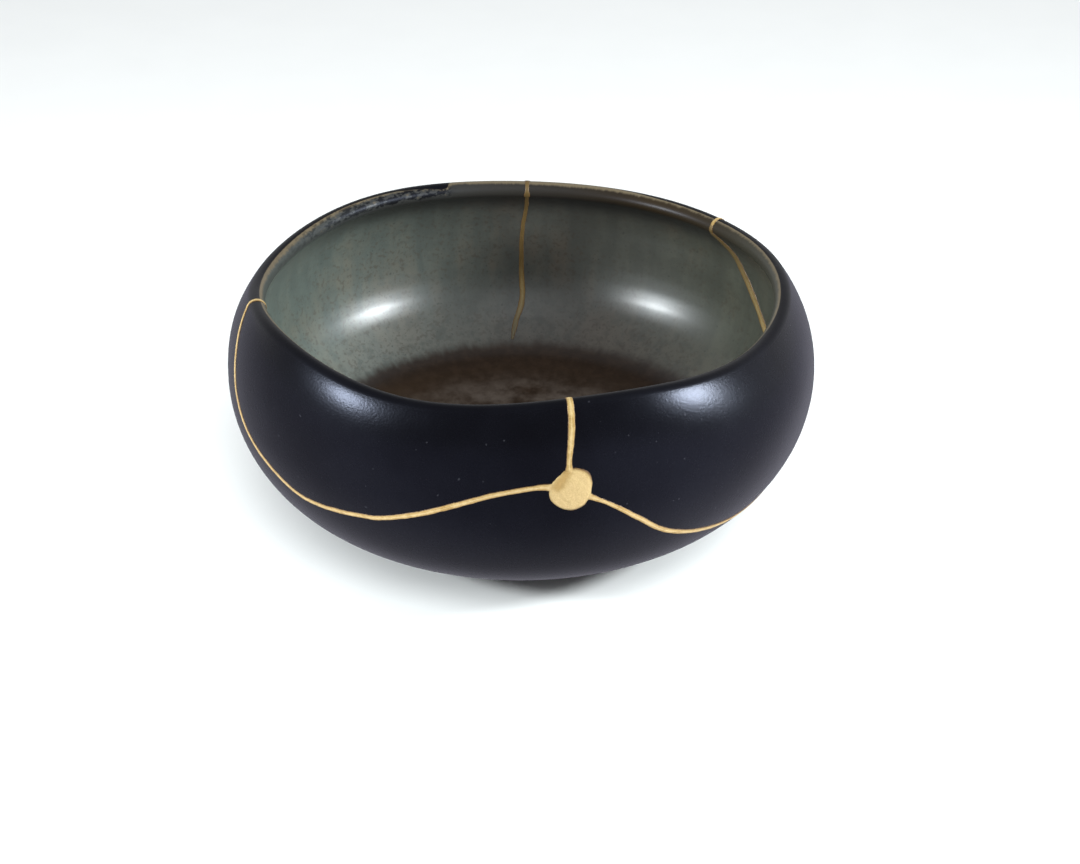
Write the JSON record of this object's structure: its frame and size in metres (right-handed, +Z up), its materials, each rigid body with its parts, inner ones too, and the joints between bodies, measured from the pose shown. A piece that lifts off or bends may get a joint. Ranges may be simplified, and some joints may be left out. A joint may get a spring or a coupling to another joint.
{
  "type": "kintsugi bowl",
  "caption": "Round, low, inward-curving stoneware bowl on a foot ring, broken into sherds and rejoined with raised gold seams.",
  "frame": {"origin": "centre of the foot ring on the plane that the bowl stands on", "axes": "+Z up, -Y towards the front, where the three gold seams meet, +X to the right seen from the front"},
  "size_m": [0.16, 0.1604, 0.0691],
  "materials": {
    "glazed_stoneware": "satin black glaze outside, glossy grey-green glaze with an iron-brown floor inside",
    "gold_lacquer": "soft-sheened gold powder on lacquer, slightly raised, with brush marks"
  },
  "bodies": {
    "root": {"bowl_body": "glazed_stoneware", "left_sherd": "glazed_stoneware", "right_sherd": "glazed_stoneware", "gold_seam_front": "gold_lacquer", "gold_seam_back": "gold_lacquer"}
  },
  "joints": []
}
